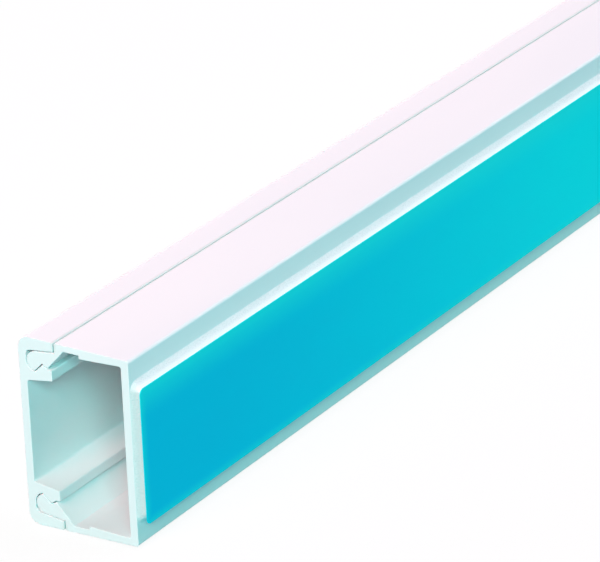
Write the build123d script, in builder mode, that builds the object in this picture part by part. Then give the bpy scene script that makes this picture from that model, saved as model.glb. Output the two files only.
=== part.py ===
"""A two-piece cord cover raceway: trough, clip-on lid, foam adhesive tape and its release liner.

It stands on one narrow side. The length runs along X, the lid faces +Y and the tape faces -Y.
Sizes are in millimetres and angles in degrees.
"""

from build123d import *
import math
import os

os.makedirs("parts", exist_ok=True)

# Outside of the closed raceway
length = 400.0
height = 25.0
depth = 16.0

# How far each side leans in towards mid-height on its way from the lid to the back
side_splay = 0.3

# Trough walls: each side wall grows from the back corner to the rib beside the thinned strip
back_wall = 1.1
side_wall = 0.95
rib_wall = 1.3
back_corner_radius = 0.45
inner_corner_radius = 0.3

# Thinned strip of each side wall, which lets its edge flex when the lid snaps on
thin_wall = 0.85
recess_width = 2.2

# Bead along the free edge of each side wall, the V groove under it and the neck that carries it
bead_radius = 1.3
groove_depth = 0.4
groove_drop = 0.12
groove_slope = 44.0
heel_slope = 33.0
neck_wall = 0.68
neck_slope = 47.0

# Lid, whose flanges grow thinner towards the seam
lid_wall = 1.1
lid_corner_radius = 1.6
socket_corner_radius = 0.7
flange_wall = 1.75
flange_tip_wall = 1.2
flange_overlap = 1.31
arm_wall = 1.3
arm_tip_wall = 1.4
arm_tip = 0.62

# Play in the snap fit, and the seam that shows as a fine V along each side
clearance = 0.13
barb_clearance = 0.18
seam_gap = 0.2
seam_radius = 0.2

# Small rounds at the tip of each arm
arm_tip_radius = 0.2

# Foam tape, the film that protects it and the bare strip of wall beside them
foam_thickness = 1.0
liner_thickness = 0.1
tape_margin = 3.3
tape_setback = 0.55
tape_corner_radius = 0.8

# Where the faces lie: the origin is under the middle of the whole part.
overall_depth = depth + foam_thickness + liner_thickness
lid_face = overall_depth / 2
back_face = lid_face - depth
half = height / 2

# The cross section is drawn from the lid's face inwards and from mid-height upwards.
section = Plane(origin=(length / 2, lid_face, half), x_dir=(0, -1, 0), z_dir=(-1, 0, 0))
from_top = (Align.MIN, Align.MAX)

# Fall per millimetre of the sides, and rise per millimetre of the three slopes of the snap profile
side_fall = side_splay / (depth - lid_corner_radius)
groove_rise = math.tan(math.radians(groove_slope))
heel_rise = math.tan(math.radians(heel_slope))
neck_rise = math.tan(math.radians(neck_slope))

# The flange reaches past the bead, and the trough's lip starts across the seam.
bead_in = lid_wall + clearance + bead_radius
flange_reach = bead_in + bead_radius + flange_overlap
lip = flange_reach + seam_gap


def side_up(inward):
    """How high the outside lies. It starts to fall where the lid's corner ends."""
    return half - (inward - lid_corner_radius) * side_fall


# The bead and the shelf beside it lie one clearance under the flange's sloping underside.
flange_tip_up = side_up(flange_reach) - flange_tip_wall
flange_tilt = math.atan2(flange_tip_up - half + flange_wall, flange_reach - lid_wall)
flange_rise = math.tan(flange_tilt)
bead_room = (bead_radius + clearance) / math.cos(flange_tilt)
bead_up = half - flange_wall + (bead_in - lid_wall) * flange_rise - bead_room
shelf_start_in = bead_in - bead_radius * math.sin(flange_tilt)
shelf_start_up = bead_up + bead_radius * math.cos(flange_tilt)
shelf_up = shelf_start_up + (lip - shelf_start_in) * flange_rise

# Bottom of the groove
apex_in = bead_in + bead_radius - groove_depth
apex_up = bead_up - groove_drop

# The neck's inner face lies one wall from the lip's inside corner. It runs from the heel, where it
# meets the groove's short flank, to the thinned strip.
neck_in = lip + neck_wall * math.sin(math.radians(neck_slope))
neck_up = shelf_up - neck_wall * math.cos(math.radians(neck_slope))
recess_in = neck_in + (side_up(neck_in) - thin_wall - neck_up) / (neck_rise + side_fall)
recess_end_in = recess_in + recess_width
inside_back = depth - back_wall
heel_in = (apex_up - neck_up + apex_in * heel_rise + neck_in * neck_rise) / (heel_rise + neck_rise)
heel_up = apex_up - (heel_in - apex_in) * heel_rise

# The lid's arm passes under the bead, and its barb follows the groove.
arm_up = bead_up - bead_radius - clearance
arm_reach = heel_in + arm_tip
barb_up = apex_up - barb_clearance
barb_heel_up = heel_up - barb_clearance
barb_root_in = apex_in - (barb_up - arm_up) / groove_rise
arm_root_up = arm_up - arm_wall
arm_tip_up = barb_heel_up - arm_tip_wall


def nearest(builder, point):
    """The corner of a section that lies closest to a point."""
    return builder.vertices().sort_by_distance(Vector(*point))[0]


with BuildPart() as base:
    with BuildSketch(section) as base_section:
        # Back wall and side wall, whose free edge leans in to the bead
        with BuildLine():
            Polyline(
                (depth, 0),
                (depth, side_up(depth)),
                (lip, side_up(lip)),
                (lip, shelf_up),
                (shelf_start_in, shelf_start_up),
                (bead_in, bead_up),
                (apex_in, apex_up),
                (heel_in, heel_up),
                (recess_in, side_up(recess_in) - thin_wall),
                (recess_end_in, side_up(recess_end_in) - thin_wall),
                (recess_end_in, side_up(recess_end_in) - rib_wall),
                (inside_back, side_up(inside_back) - side_wall),
                (inside_back, 0),
                close=True,
            )
        make_face()
        with Locations((bead_in, bead_up)):
            Circle(bead_radius)
        # The groove's long flank cuts the underside of the bead away.
        flank = 2 * bead_radius
        with BuildLine():
            Polyline(
                (apex_in, apex_up),
                (apex_in - flank, apex_up - flank * groove_rise),
                (heel_in, apex_up - flank * groove_rise),
                (heel_in, heel_up),
                close=True,
            )
        make_face(mode=Mode.SUBTRACT)
        fillet(nearest(base_section, (depth, side_up(depth))), back_corner_radius)
        fillet(nearest(base_section, (inside_back, side_up(inside_back) - side_wall)), inner_corner_radius)
        fillet(nearest(base_section, (lip, side_up(lip))), seam_radius)
        mirror(about=Plane.XZ)
    extrude(amount=length)

with BuildPart() as lid:
    with BuildSketch(section) as lid_section:
        # The socket's inner corner wraps round the bead.
        with Locations((0, bead_up)):
            Rectangle(bead_in, bead_up - arm_up, align=from_top)
        with Locations((bead_in, bead_up)):
            Circle(bead_radius + clearance, mode=Mode.SUBTRACT)
        with Locations((0, half)):
            Rectangle(lid_wall, half, align=from_top)
        with BuildLine():
            Polyline(
                (0, side_up(0)),
                (flange_reach, side_up(flange_reach)),
                (flange_reach, flange_tip_up),
                (lid_wall, half - flange_wall),
                (0, half - flange_wall),
                close=True,
            )
        make_face()
        with BuildLine():
            Polyline(
                (0, arm_up),
                (barb_root_in, arm_up),
                (apex_in, barb_up),
                (heel_in, barb_heel_up),
                (arm_reach, barb_heel_up),
                (arm_reach, arm_tip_up),
                (lid_wall, arm_root_up),
                (0, arm_root_up),
                close=True,
            )
        make_face()
        fillet(nearest(lid_section, (0, side_up(0))), lid_corner_radius)
        fillet(nearest(lid_section, (lid_wall, half - flange_wall)), socket_corner_radius)
        fillet(nearest(lid_section, (flange_reach, side_up(flange_reach))), seam_radius)
        fillet(nearest(lid_section, (arm_reach, barb_heel_up)), arm_tip_radius)
        fillet(nearest(lid_section, (arm_reach, arm_tip_up)), arm_tip_radius)
        fillet(nearest(lid_section, (lid_wall, arm_root_up)), inner_corner_radius)
        mirror(about=Plane.XZ)
    extrude(amount=length)

# The tape runs along the middle of the trough's back, a little short of both cut ends.
tape_plane = Plane(origin=(0, back_face, half), x_dir=(1, 0, 0), z_dir=(0, -1, 0))
tape_length = length - 2 * tape_setback
tape_width = 2 * (side_up(depth) - tape_margin)

with BuildPart() as foam_tape:
    with BuildSketch(tape_plane):
        RectangleRounded(tape_length, tape_width, tape_corner_radius)
    extrude(amount=foam_thickness)

with BuildPart() as release_liner:
    with BuildSketch(tape_plane.offset(foam_thickness)):
        RectangleRounded(tape_length, tape_width, tape_corner_radius)
    extrude(amount=liner_thickness)

base.part.label = "base"
lid.part.label = "lid"
foam_tape.part.label = "foam_tape"
release_liner.part.label = "release_liner"

export_step(base.part, "parts/base.step")
export_step(lid.part, "parts/lid.step")
export_step(foam_tape.part, "parts/foam_tape.step")
export_step(release_liner.part, "parts/release_liner.step")
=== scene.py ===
"""The looks of a two-piece cord cover raceway: trough, clip-on lid, foam tape and release liner.

It stands on one narrow side, in metres: the length runs along X, the lid faces +Y and the tape
faces -Y. The cross section is drawn from the lid's face inwards and from mid-height upwards.
"""

import math

import bmesh
import bpy
from mathutils import Matrix, Vector, noise


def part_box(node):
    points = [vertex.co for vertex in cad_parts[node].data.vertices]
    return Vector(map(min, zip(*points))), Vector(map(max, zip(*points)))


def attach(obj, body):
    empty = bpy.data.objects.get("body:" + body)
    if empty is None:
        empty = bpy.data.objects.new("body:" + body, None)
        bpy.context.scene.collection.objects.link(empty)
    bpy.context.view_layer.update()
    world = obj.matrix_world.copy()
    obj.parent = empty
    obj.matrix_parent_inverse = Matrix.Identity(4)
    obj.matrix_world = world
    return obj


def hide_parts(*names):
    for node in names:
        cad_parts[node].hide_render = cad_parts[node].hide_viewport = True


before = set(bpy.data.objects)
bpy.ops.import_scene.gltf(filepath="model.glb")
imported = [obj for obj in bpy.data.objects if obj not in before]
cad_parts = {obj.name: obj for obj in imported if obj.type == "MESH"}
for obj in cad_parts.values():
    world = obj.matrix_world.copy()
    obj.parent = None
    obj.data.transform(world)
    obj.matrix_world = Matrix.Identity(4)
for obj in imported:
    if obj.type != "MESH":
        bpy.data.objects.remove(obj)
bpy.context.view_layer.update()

MM = 0.001


def colour(red, green, blue):
    """A colour in linear light, as a shader's socket takes it."""
    return (red, green, blue, 1.0)


# Where the pieces lie in the frame
trough_low, trough_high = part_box("base")
lid_low, lid_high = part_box("lid")
foam_low, foam_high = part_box("foam_tape")
liner_low, liner_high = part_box("release_liner")
near_end = trough_low.x
far_end = trough_high.x
lid_face = lid_high.y
depth = lid_face - trough_low.y
half = (lid_high.z - lid_low.z) / 2
mid_height = lid_low.z + half

# How far each side leans in towards mid-height on its way from the lid to the back
side_splay = 0.3 * MM

# Trough walls, and the thinned strip of each side wall with the rib beside it
back_wall = 1.1 * MM
side_wall = 0.95 * MM
rib_wall = 1.3 * MM
back_corner_radius = 0.45 * MM
inner_corner_radius = 0.3 * MM
thin_wall = 0.85 * MM
recess_width = 2.2 * MM

# Bead along the free edge of each side wall, the V groove under it and the neck that carries it
bead_radius = 1.3 * MM
groove_depth = 0.4 * MM
groove_drop = 0.12 * MM
groove_rise = math.tan(math.radians(44.0))
heel_rise = math.tan(math.radians(33.0))
neck_wall = 0.68 * MM
neck_slope = math.radians(47.0)

# Lid, whose flanges grow thinner towards the seam
lid_wall = 1.1 * MM
lid_corner_radius = 1.6 * MM
socket_corner_radius = 0.7 * MM
flange_wall = 1.75 * MM
flange_tip_wall = 1.2 * MM
flange_overlap = 1.31 * MM
arm_wall = 1.3 * MM
arm_tip_wall = 1.4 * MM
arm_tip = 0.62 * MM
arm_tip_radius = 0.2 * MM

# Play in the snap fit, the seam that shows as a fine V along each side, and how far the shade
# painted into the seam reaches
clearance = 0.13 * MM
barb_clearance = 0.18 * MM
seam_gap = 0.2 * MM
seam_radius = 0.2 * MM
seam_shade_reach = 0.55 * MM

# Rounds left by the extrusion die, and the edges that the saw and the film's knife leave
die_round = 0.08 * MM
cut_break = 0.07 * MM
film_break = 0.03 * MM

# Tape, whose film was laid a little low on the foam
tape_corner_radius = 0.8 * MM
film_slip = 0.4 * MM
foam_flare = 0.5 * MM
foam_taper = 0.4 * MM
foam_ragged = 0.06 * MM
foam_grain = 0.35 * MM

# Fineness of the meshes
arc_step = math.radians(7.5)
station_step = 10 * MM
break_steps = 3
foam_step = 0.5 * MM
foam_layers = 6
sharp_angle = math.radians(12)

# PVC: its colours, among them the shade painted into the seam, then its marks, with their fineness
# in marks per millimetre of X, Y and Z
pvc_white = colour(0.885, 0.915, 0.925)
pvc_shade = colour(0.855, 0.895, 0.91)
seam_painted_shade = colour(0.75, 0.80, 0.78)
haze_fineness = (0.012, 0.06, 0.06)
haze_span = (0.35, 0.75)
haze_detail = 2.0
die_line_fineness = (0.01, 1.7, 1.7)
die_line_depth = 0.006 * MM
saw_mark_fineness = (0.2, 0.5, 5.0)
saw_mark_depth = 2.0 * die_line_depth
pvc_roughness = 0.34
die_line_roughness = 0.10
saw_mark_roughness = 0.2

# Foam: its colours, its cells, and the painted highlight along the edge under the film, which fades
# with distance from the film
foam_white = colour(0.86, 0.87, 0.875)
foam_shade = colour(0.77, 0.80, 0.805)
foam_painted_highlight = colour(0.93, 0.94, 0.94)
foam_cut = colour(0.69, 0.73, 0.735)
cell_fineness = (4.5, 4.5, 4.5)
cell_span = (0.1, 0.6)
cell_depth = 0.05 * MM
painted_highlight_span = (0.2 * MM, 0.7 * MM)

# How squarely a face has to look along X to count as a cut end, from not at all to fully
pvc_cut_facing = (0.7, 0.95)
foam_cut_facing = (0.6, 0.9)

# Film: its colours, how far and how strongly the painted light reaches (paler towards the far end,
# near the top and along the cut edges), its mottle and its creases
liner_blue = colour(0.0, 0.59, 0.86)
liner_cyan = colour(0.0, 0.90, 0.95)
liner_painted_highlight = colour(0.015, 0.88, 0.87)
painted_far_light_reach = 140 * MM
painted_top_highlight_reach = 4.5 * MM
painted_top_highlight_share = 0.6
painted_edge_highlight_reach = 1.4 * MM
painted_edge_highlight_share = 0.45
mottle_fineness = (0.05, 0.2, 0.2)
mottle_share = 0.1
crease_fineness = (0.15, 1.0, 0.9)
crease_depth = 0.01 * MM
film_roughness = 0.42
mottle_roughness = 0.1

# Floor and sky. The floor throws a teal light back, and the camera sees both as white.
white = colour(1.0, 1.0, 1.0)
floor_size = 6.0
floor_colour = colour(0.15, 0.5, 0.5)
floor_shown_white = 0.9
sky_colour = colour(0.5, 0.8, 0.85)
sky_strength = 0.03

# Softboxes, which stand round the near part of the raceway
lamp_aim = Vector((near_end + 100 * MM, 0, mid_height))
lamp_distance = 2.6
lamp_width = 1.2
lamp_height = 0.7

# The photograph's viewing angle: the camera's bearing, height, tilt, lens and place
camera_azimuth = math.radians(-57.323)
camera_elevation = math.radians(22.942)
camera_roll = math.radians(-2.301)
camera_lens = 235.544
camera_place = Vector((-0.543634, -0.252356, 0.212524))


def point(inward, up):
    """A point of the cross section, or of the tape's outline as (X, Z)."""
    return Vector((inward, up))


def arc(centre, radius, start, end):
    """Points on a circle from one angle to another, both included."""
    steps = max(2, math.ceil(abs(end - start) / arc_step))
    angles = [start + (end - start) * i / steps for i in range(steps + 1)]
    return [centre + radius * Vector((math.cos(a), math.sin(a))) for a in angles]


def rounded_corner(before, corner, after, radius):
    """The arc that rounds one corner of an outline."""
    back = (before - corner).normalized()
    ahead = (after - corner).normalized()
    half_angle = math.acos(max(-1.0, min(1.0, back.dot(ahead)))) / 2
    centre = corner + (back + ahead).normalized() * radius / math.sin(half_angle)
    first = corner + back * radius / math.tan(half_angle) - centre
    last = corner + ahead * radius / math.tan(half_angle) - centre
    start = math.atan2(first.y, first.x)
    turn = math.remainder(math.atan2(last.y, last.x) - start, 2 * math.pi)
    return arc(centre, radius, start, start + turn)


def rounded(corners):
    """A run of (corner, radius) pairs with its corners rounded. A radius of 0 keeps the point."""
    points = []
    for i, (corner, radius) in enumerate(corners):
        if radius == 0:
            points.append(corner)
        else:
            before = corners[i - 1][0]
            after = corners[(i + 1) % len(corners)][0]
            points += rounded_corner(before, corner, after, radius)
    return points


def whole_section(upper):
    """A closed outline from its upper half, which starts and ends at mid-height."""
    lower = [point(p.x, -p.y) for p in reversed(upper[1:-1])]
    return upper + lower


# The flange reaches past the bead, and the trough's lip starts across the seam.
side_fall = side_splay / (depth - lid_corner_radius)
bead_in = lid_wall + clearance + bead_radius
flange_reach = bead_in + bead_radius + flange_overlap
lip = flange_reach + seam_gap


def side_up(inward):
    """How high the outside lies. It starts to fall where the lid's corner ends."""
    return half - (inward - lid_corner_radius) * side_fall


# The bead and the shelf beside it lie one clearance under the flange's sloping underside.
flange_tip_up = side_up(flange_reach) - flange_tip_wall
flange_tilt = math.atan2(flange_tip_up - half + flange_wall, flange_reach - lid_wall)
flange_rise = math.tan(flange_tilt)
bead_room = (bead_radius + clearance) / math.cos(flange_tilt)
bead_up = half - flange_wall + (bead_in - lid_wall) * flange_rise - bead_room
bead_centre = point(bead_in, bead_up)
shelf_start = bead_centre + bead_radius * point(-math.sin(flange_tilt), math.cos(flange_tilt))
shelf_up = shelf_start.y + (lip - shelf_start.x) * flange_rise

# Bottom of the groove, and the neck's inner face from the heel to the thinned strip
apex = point(bead_in + bead_radius - groove_depth, bead_up - groove_drop)
neck_in = lip + neck_wall * math.sin(neck_slope)
neck_up = shelf_up - neck_wall * math.cos(neck_slope)
neck_rise = math.tan(neck_slope)
recess_in = neck_in + (side_up(neck_in) - thin_wall - neck_up) / (neck_rise + side_fall)
recess_end_in = recess_in + recess_width
inside_back = depth - back_wall
heel_in = (apex.y - neck_up + apex.x * heel_rise + neck_in * neck_rise) / (heel_rise + neck_rise)
heel = point(heel_in, apex.y - (heel_in - apex.x) * heel_rise)

# The lid's arm passes under the bead, and its barb follows the groove.
arm_up = bead_up - bead_radius - clearance
arm_reach = heel.x + arm_tip
barb_tip = point(apex.x, apex.y - barb_clearance)
barb_heel = point(heel.x, heel.y - barb_clearance)
arm_root_up = arm_up - arm_wall
arm_tip_up = barb_heel.y - arm_tip_wall


def flank_angle(start, radius):
    """Where the groove's long flank, drawn down from a point, meets a circle about the bead."""
    down = Vector((-1, -groove_rise)).normalized()
    offset = start - bead_centre
    ahead = -offset.dot(down)
    along = ahead + math.sqrt(ahead ** 2 - offset.length_squared + radius ** 2)
    meeting = offset + along * down
    return math.atan2(meeting.y, meeting.x) + 2 * math.pi


def trough_section():
    """The trough, from the inside of its back round the bead to the outside of its back."""
    upper = rounded([
        (point(inside_back, 0), 0),
        (point(inside_back, side_up(inside_back) - side_wall), inner_corner_radius),
        (point(recess_end_in, side_up(recess_end_in) - rib_wall), die_round),
        (point(recess_end_in, side_up(recess_end_in) - thin_wall), die_round),
        (point(recess_in, side_up(recess_in) - thin_wall), die_round),
        (heel, die_round),
        (apex, 0),
    ])
    flank = flank_angle(apex, bead_radius)
    upper += arc(bead_centre, bead_radius, flank, math.pi / 2 + flange_tilt)
    upper += rounded([
        (shelf_start, 0),
        (point(lip, shelf_up), die_round),
        (point(lip, side_up(lip)), seam_radius),
        (point(depth, side_up(depth)), back_corner_radius),
        (point(depth, 0), 0),
    ])[1:]
    return whole_section(upper)


def lid_section():
    """The lid, from the inside of its face round arm, socket and flange to its outside."""
    socket_radius = bead_radius + clearance
    upper = rounded([
        (point(lid_wall, 0), 0),
        (point(lid_wall, arm_root_up), inner_corner_radius),
        (point(arm_reach, arm_tip_up), arm_tip_radius),
        (point(arm_reach, barb_heel.y), arm_tip_radius),
        (barb_heel, 0),
        (barb_tip, 0),
    ])
    upper += arc(bead_centre, socket_radius, flank_angle(barb_tip, socket_radius), math.pi)
    upper += rounded([
        (point(lid_wall, bead_up), 0),
        (point(lid_wall, half - flange_wall), socket_corner_radius),
        (point(flange_reach, flange_tip_up), die_round),
        (point(flange_reach, side_up(flange_reach)), seam_radius),
        (point(0, side_up(0)), lid_corner_radius),
        (point(0, 0), 0),
    ])[1:]
    return whole_section(upper)


def tape_outline():
    """The tape's outline along the back, as (X, Z)."""
    left, right = foam_low.x, foam_high.x
    bottom, top = foam_low.z, foam_high.z
    corners = [point(left, bottom), point(right, bottom), point(right, top), point(left, top)]
    return rounded([(corner, tape_corner_radius) for corner in corners])


def inset(outline, amount):
    """A closed outline moved inwards by a small amount, or outwards by a negative one."""
    count = len(outline)
    turns = [outline[i - 1].cross(outline[i]) for i in range(count)]
    side = math.copysign(1, sum(turns))
    moved = []
    for i, corner in enumerate(outline):
        along = (corner - outline[i - 1]).normalized()
        ahead = (outline[(i + 1) % count] - corner).normalized()
        first = side * Vector((-along.y, along.x))
        second = side * Vector((-ahead.y, ahead.x))
        moved.append(corner + (first + second) * amount / (1 + first.dot(second)))
    return moved


def even_steps(outline, step):
    """A closed outline with its long runs divided."""
    points = []
    for i, start in enumerate(outline):
        end = outline[(i + 1) % len(outline)]
        count = max(1, round((end - start).length / step))
        points += [start.lerp(end, k / count) for k in range(count)]
    return points


def broken_edge(size):
    """A rounded edge as (inset, travel) pairs, from the end face to the side."""
    angles = [math.pi / 2 * i / break_steps for i in range(break_steps + 1)]
    return [(size * (1 - math.sin(a)), size * (1 - math.cos(a))) for a in angles]


def skin(rings):
    """A closed mesh over rings of points, with a flat face on its first and last ring."""
    work = bmesh.new()
    loops = [[work.verts.new(p) for p in ring] for ring in rings]
    count = len(rings[0])
    for lower, upper in zip(loops, loops[1:]):
        for i in range(count):
            j = (i + 1) % count
            work.faces.new((lower[i], lower[j], upper[j], upper[i]))
    for cap in (loops[0], loops[-1]):
        work.faces.new(cap)
    return work


def new_piece(name, work, material):
    """Links a finished bmesh as a piece, smooth but for its sharp edges."""
    bmesh.ops.recalc_face_normals(work, faces=work.faces)
    for face in work.faces:
        face.smooth = True
    for edge in work.edges:
        edge.smooth = edge.calc_face_angle(0) < sharp_angle
    mesh = bpy.data.meshes.new(name)
    work.to_mesh(mesh)
    work.free()
    mesh.materials.append(material)
    piece = bpy.data.objects.new(name, mesh)
    bpy.context.scene.collection.objects.link(piece)
    return piece


def extrusion(name, outline, material):
    """A length of profile, cut square at both ends."""
    ends = broken_edge(cut_break)
    first = near_end + cut_break
    last = far_end - cut_break
    count = math.ceil((last - first) / station_step)
    stations = [(amount, near_end + travel) for amount, travel in ends]
    stations += [(0, first + (last - first) * i / count) for i in range(1, count)]
    stations += [(amount, far_end - travel) for amount, travel in reversed(ends)]
    rings = []
    for amount, x in stations:
        ring = inset(outline, amount)
        rings.append([Vector((x, lid_face - p.x, mid_height + p.y)) for p in ring])
    return new_piece(name, skin(rings), material)


def foam_strip(material):
    """The foam. Its ragged sides spread where they meet the wall and slope in to the film."""
    half_width = (foam_high.z - foam_low.z) / 2
    cut = even_steps(tape_outline(), foam_step)
    rings = []
    for layer in range(foam_layers + 1):
        from_wall = layer / foam_layers
        y = foam_high.y + (foam_low.y - foam_high.y) * from_wall
        flared = inset(cut, -foam_flare * (1 - from_wall) ** 2)
        narrowing = 1 - from_wall * foam_taper / half_width
        outline = [point(p.x, mid_height + (p.y - mid_height) * narrowing) for p in flared]
        ring = []
        for flat, inner in zip(outline, inset(outline, foam_ragged)):
            spot = Vector((flat.x, y, flat.y)) / foam_grain
            share = 0.5 + 0.5 * noise.noise(spot)
            ragged = flat.lerp(inner, share)
            ring.append(Vector((ragged.x, y, ragged.y)))
        rings.append(ring)
    return new_piece("foam_strip", skin(rings), material)


def liner_strip(material):
    """The film over the foam, with a soft cut edge on its outer face."""
    outline = [p - point(0, film_slip) for p in even_steps(tape_outline(), station_step)]
    rings = [[Vector((p.x, liner_high.y, p.y)) for p in outline]]
    for amount, travel in reversed(broken_edge(film_break)):
        rings.append([Vector((p.x, liner_low.y + travel, p.y)) for p in inset(outline, amount)])
    return new_piece("liner_strip", skin(rings), material)


class Value:
    """One output of a shader node. Arithmetic on it adds Math nodes to the same finish."""

    def __init__(self, finish, socket):
        self.finish = finish
        self.socket = socket

    def output(self, name):
        """Another output of the same node."""
        return Value(self.finish, self.socket.node.outputs[name])

    def math(self, operation, *terms):
        """A Math node on the given terms."""
        return self.finish.node("ShaderNodeMath", {"operation": operation}, enumerate(terms))

    def __add__(self, other):
        return self.math("ADD", self, other)

    def __sub__(self, other):
        return self.math("SUBTRACT", self, other)

    def __rsub__(self, other):
        return self.math("SUBTRACT", other, self)

    def __mul__(self, other):
        return self.math("MULTIPLY", self, other)

    def __abs__(self):
        return self.math("ABSOLUTE", self)

    __radd__ = __add__
    __rmul__ = __mul__

    def least(self, other):
        """The smaller of two values."""
        return self.math("MINIMUM", self, other)

    def ease(self, low, high):
        """0 below one value, 1 above another and a smooth rise between them."""
        settings = {"interpolation_type": "SMOOTHSTEP"}
        inputs = {"Value": self, "From Min": low, "From Max": high}
        return self.finish.node("ShaderNodeMapRange", settings, inputs)


class Finish:
    """The shader of a material or of the world."""

    # A Mix node's colour sockets go by number, because its other sockets share their names.
    mix_factor, mix_first, mix_second, mix_result = 0, 6, 7, 2

    def __init__(self, owner):
        owner.use_nodes = True
        self.owner = owner
        self.tree = owner.node_tree
        self.tree.nodes.clear()

    def node(self, kind, settings=(), inputs=()):
        """Adds a node, with its settings first and then its sockets' values or links."""
        made = self.tree.nodes.new(kind)
        for name, value in dict(settings).items():
            setattr(made, name, value)
        for name, value in dict(inputs).items():
            if isinstance(value, Value):
                self.tree.links.new(value.socket, made.inputs[name])
            else:
                made.inputs[name].default_value = value
        return Value(self, made.outputs[0]) if made.outputs else None

    def blend(self, first, second, share):
        """A mix of two colours."""
        inputs = {self.mix_factor: share, self.mix_first: first, self.mix_second: second}
        mixed = self.node("ShaderNodeMix", {"data_type": "RGBA"}, inputs)
        return mixed.output(self.mix_result)

    def blend_shaders(self, first, second, share):
        """A mix of two shaders."""
        return self.node("ShaderNodeMixShader", inputs={0: share, 1: first, 2: second})

    def axes(self, coordinate):
        """X, Y and Z of the spot on the piece (Object) or of the way it faces (Normal)."""
        spot = self.node("ShaderNodeTexCoord").output(coordinate)
        return self.node("ShaderNodeSeparateXYZ", inputs={"Vector": spot})

    def cut_ends(self, facing):
        """1 on the cut ends, which face along X, and 0 on the long sides."""
        return abs(self.axes("Normal").output("X")).ease(*facing)

    def pattern_place(self, fineness):
        """Where a pattern of the given marks per millimetre is read."""
        spot = self.node("ShaderNodeTexCoord").output("Object")
        scale = tuple(marks / MM for marks in fineness)
        return self.node("ShaderNodeVectorMath", {"operation": "MULTIPLY"}, {0: spot, 1: scale})

    def grain(self, fineness, detail=3.0):
        """Cloudy noise, from 0 to 1."""
        inputs = {"Vector": self.pattern_place(fineness), "Scale": 1.0, "Detail": detail}
        return self.node("ShaderNodeTexNoise", inputs=inputs)

    def cells(self, fineness):
        """Round cells, from 0 in the middle of each."""
        inputs = {"Vector": self.pattern_place(fineness), "Scale": 1.0}
        return self.node("ShaderNodeTexVoronoi", inputs=inputs)

    def relief(self, height, mark_depth):
        """A bump whose height, from 0 to 1, stands for a depth in metres."""
        return self.node("ShaderNodeBump", inputs={"Height": height, "Distance": mark_depth})

    def surface(self, inputs):
        """Ends a material with a plain surface shader."""
        shader = self.node("ShaderNodeBsdfPrincipled", inputs=inputs)
        self.node("ShaderNodeOutputMaterial", inputs={"Surface": shader})
        return self.owner


def pvc_finish():
    """White extruded PVC: die lines along its length, saw marks on its ends, painted shade in its
    seams.
    """
    finish = Finish(bpy.data.materials.new("extruded_pvc"))
    spot = finish.axes("Object")
    # Painted shade: the PVC is darkened in and beside the seam, near the outside, where shade falls
    # in its V.
    off_seam = abs(spot.output("Y") - (lid_face - flange_reach - seam_gap / 2))
    off_middle = abs(spot.output("Z") - mid_height)
    in_seam = 1 - off_seam.ease(seam_gap / 2, seam_shade_reach)
    painted_seam_shade = in_seam * off_middle.ease(half - flange_wall, half)
    haze = finish.grain(haze_fineness, haze_detail).ease(*haze_span)
    tone = finish.blend(pvc_white, pvc_shade, haze)
    tone = finish.blend(tone, seam_painted_shade, painted_seam_shade)
    cut = finish.cut_ends(pvc_cut_facing)
    die_lines = finish.grain(die_line_fineness)
    saw_marks = finish.grain(saw_mark_fineness)
    marks = die_lines * (1 - cut) + saw_marks * cut * (saw_mark_depth / die_line_depth)
    return finish.surface({
        "Base Color": tone,
        "Roughness": pvc_roughness + die_lines * die_line_roughness + cut * saw_mark_roughness,
        "IOR": 1.5,
        "Specular IOR Level": 0.2,
        "Normal": finish.relief(marks, die_line_depth),
    })


def foam_finish():
    """White closed-cell foam, with a painted highlight at the edge under the film, and duller on
    its cut ends.
    """
    finish = Finish(bpy.data.materials.new("closed_cell_foam"))
    cut = finish.cut_ends(foam_cut_facing)
    from_film = finish.axes("Object").output("Y") - foam_low.y
    # Painted highlight: the foam is lighter towards the film, where its edge catches the light.
    highlight_near_film = 1 - from_film.ease(*painted_highlight_span)
    cells = finish.cells(cell_fineness)
    tone = finish.blend(foam_shade, foam_white, cells.ease(*cell_span))
    tone = finish.blend(tone, foam_cut, cut)
    tone = finish.blend(tone, foam_painted_highlight, highlight_near_film * (1 - cut))
    return finish.surface({
        "Base Color": tone,
        "Roughness": 0.85,
        "Specular IOR Level": 0.2,
        "Normal": finish.relief(cells, cell_depth),
    })


def liner_finish():
    """Blue siliconised film with painted light: paler along its cut edges, near its top and towards
    its far end.
    """
    finish = Finish(bpy.data.materials.new("liner_film"))
    spot = finish.axes("Object")
    along = spot.output("X")
    up = spot.output("Z") + film_slip
    # Painted light: the film turns paler and greener towards the far end, and paler near its top
    # and along its cut edges as painted highlights.
    far = along.ease(near_end, near_end + painted_far_light_reach)
    high = up.ease(liner_high.z - painted_top_highlight_reach, liner_high.z)
    from_ends = liner_high.x - abs(along)
    from_sides = (liner_high.z - liner_low.z) / 2 - abs(up - mid_height)
    edge = 1 - from_ends.least(from_sides).ease(0.0, painted_edge_highlight_reach)
    mottle = finish.grain(mottle_fineness)
    tone = finish.blend(liner_blue, liner_cyan, far + (mottle - 0.5) * mottle_share)
    tone = finish.blend(tone, liner_painted_highlight, high * painted_top_highlight_share)
    tone = finish.blend(tone, liner_painted_highlight, edge * painted_edge_highlight_share)
    creases = finish.grain(crease_fineness)
    return finish.surface({
        "Base Color": tone,
        "Roughness": film_roughness + mottle * mottle_roughness,
        "Specular IOR Level": 0.02,
        "Normal": finish.relief(creases, crease_depth),
    })


def seen_by_camera(finish):
    """1 where the camera sees a surface, straight or by way of a shiny or clear one."""
    path = finish.node("ShaderNodeLightPath")
    straight = path.output("Is Camera Ray")
    turned = path.output("Is Glossy Ray") + path.output("Is Transmission Ray")
    return (straight + turned).ease(0.0, 1.0)


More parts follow.
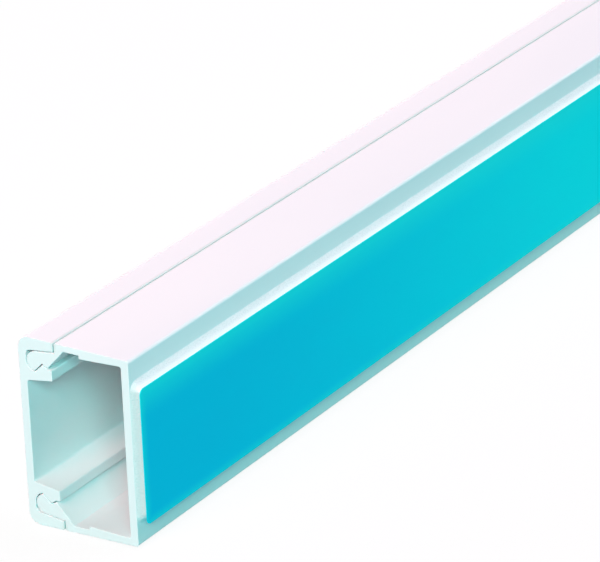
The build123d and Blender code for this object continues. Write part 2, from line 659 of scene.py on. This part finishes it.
def studio_floor():
    """A plain floor that shows white and keeps a faint shadow."""
    paint = Finish(bpy.data.materials.new("studio_floor"))
    seen = seen_by_camera(paint)
    tone = paint.blend(floor_colour, white, seen)
    matt = paint.node("ShaderNodeBsdfDiffuse", inputs={"Color": tone})
    glow = paint.node("ShaderNodeEmission", inputs={"Color": white, "Strength": 1.0})
    shown = paint.blend_shaders(matt, glow, seen * floor_shown_white)
    paint.node("ShaderNodeOutputMaterial", inputs={"Surface": shown})
    work = bmesh.new()
    bmesh.ops.create_grid(work, x_segments=2, y_segments=2, size=floor_size / 2)
    floor = new_piece("studio_floor", work, paint.owner)


def studio_sky():
    """Even cool light from all round, behind a white backdrop."""
    world = bpy.data.worlds.new("studio_sky")
    bpy.context.scene.world = world
    sky = Finish(world)
    light = sky.node("ShaderNodeBackground", inputs={"Color": sky_colour, "Strength": sky_strength})
    backdrop = sky.node("ShaderNodeBackground", inputs={"Color": white, "Strength": 1.0})
    shown = sky.blend_shaders(light, backdrop, seen_by_camera(sky))
    sky.node("ShaderNodeOutputWorld", inputs={"Surface": shown})


def outward(azimuth, elevation):
    """The way from the raceway to a lamp or camera. Azimuth 0 is -Y, and a right angle is +X."""
    level = math.cos(elevation)
    return Vector((math.sin(azimuth) * level, -math.cos(azimuth) * level, math.sin(elevation)))


def soft_lamp(name, azimuth, elevation, power, tint):
    """A wide softbox, with its angles in degrees."""
    lamp = bpy.data.lights.new(name, "AREA")
    lamp.shape = "RECTANGLE"
    lamp.size = lamp_width
    lamp.size_y = lamp_height
    lamp.energy = power
    lamp.color = tint
    direction = outward(math.radians(azimuth), math.radians(elevation))
    stand = bpy.data.objects.new(name, lamp)
    stand.location = lamp_aim + lamp_distance * direction
    stand.rotation_euler = direction.to_track_quat("Z", "Y").to_euler()
    bpy.context.scene.collection.objects.link(stand)


def photo_camera():
    """A camera at the photograph's viewing angle."""
    back = outward(camera_azimuth, camera_elevation)
    right = Vector((math.cos(camera_azimuth), math.sin(camera_azimuth), 0))
    up = back.cross(right)
    rolled_right = math.cos(camera_roll) * right + math.sin(camera_roll) * up
    rolled_up = math.cos(camera_roll) * up - math.sin(camera_roll) * right
    turn = Matrix((rolled_right, rolled_up, back)).transposed()
    data = bpy.data.cameras.new("photo_camera")
    data.lens = camera_lens
    camera = bpy.data.objects.new("photo_camera", data)
    camera.matrix_world = Matrix.Translation(camera_place) @ turn.to_4x4()
    bpy.context.scene.collection.objects.link(camera)
    bpy.context.scene.camera = camera


pvc = pvc_finish()
trough = extrusion("trough", trough_section(), pvc)
lid = extrusion("clip_lid", lid_section(), pvc)
foam = foam_strip(foam_finish())
liner = liner_strip(liner_finish())

for piece, body, node, slot in (
    (trough, "base", "base", "pvc"),
    (lid, "lid", "lid", "pvc"),
    (foam, "base", "foam_tape", "foam"),
    (liner, "base", "release_liner", "liner_film"),
):
    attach(piece, body)
    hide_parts(node)

studio_floor()
studio_sky()
# The photograph's light is pinkish from above and on the cut end, and teal on the tape's side.
soft_lamp("top_softbox", azimuth=45, elevation=65, power=24.0, tint=(1.0, 0.70, 0.96))
soft_lamp("end_softbox", azimuth=-90, elevation=39, power=48.5, tint=(1.0, 0.42, 0.43))
soft_lamp("tape_side_softbox", azimuth=-57, elevation=30, power=48.5, tint=(0.38, 1.0, 0.95))
soft_lamp("lid_side_softbox", azimuth=180, elevation=9, power=48.0, tint=(1.0, 0.93, 0.95))
soft_lamp("far_end_softbox", azimuth=90, elevation=9, power=38.0, tint=(1.0, 0.95, 1.0))
photo_camera()
bpy.context.scene.view_settings.view_transform = "Standard"
